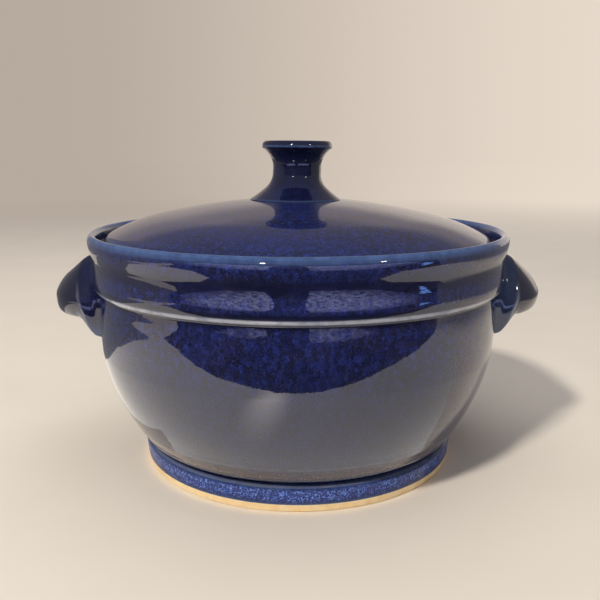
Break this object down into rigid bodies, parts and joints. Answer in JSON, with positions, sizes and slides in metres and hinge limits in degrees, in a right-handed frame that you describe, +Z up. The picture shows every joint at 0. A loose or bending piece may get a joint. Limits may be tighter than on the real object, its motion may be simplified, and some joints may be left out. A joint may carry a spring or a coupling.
{
  "type": "lidded casserole",
  "caption": "Round glazed stoneware casserole with a foot ring, two pulled lug handles and a lift-off domed lid with a waisted knob.",
  "frame": {"origin": "centre of the foot, on the surface the pot stands on", "axes": "+Z up along the axis of the pot and lid, +X through the right-hand handle, -Y towards the viewer"},
  "size_m": [0.284, 0.24, 0.18],
  "materials": {
    "blue_glaze": "glossy cobalt glaze, mottled, lighter where it thins at the edges",
    "foot_glaze": "glossy blue glaze with pale crystal flecks, ending in a thin pale line above bare clay",
    "bare_clay": "matt unglazed buff stoneware"
  },
  "bodies": {
    "pot": {"pot_body": "blue_glaze", "foot_ring": "foot_glaze", "handle_left": "blue_glaze", "handle_right": "blue_glaze"},
    "lid": {"lid_cover": "blue_glaze", "lid_knob": "blue_glaze"}
  },
  "joints": [
    {"name": "lid_lift", "type": "slide", "parent": "pot", "child": "lid", "axis": [0, 0, 1], "range_m": [0, 0.16]}
  ]
}
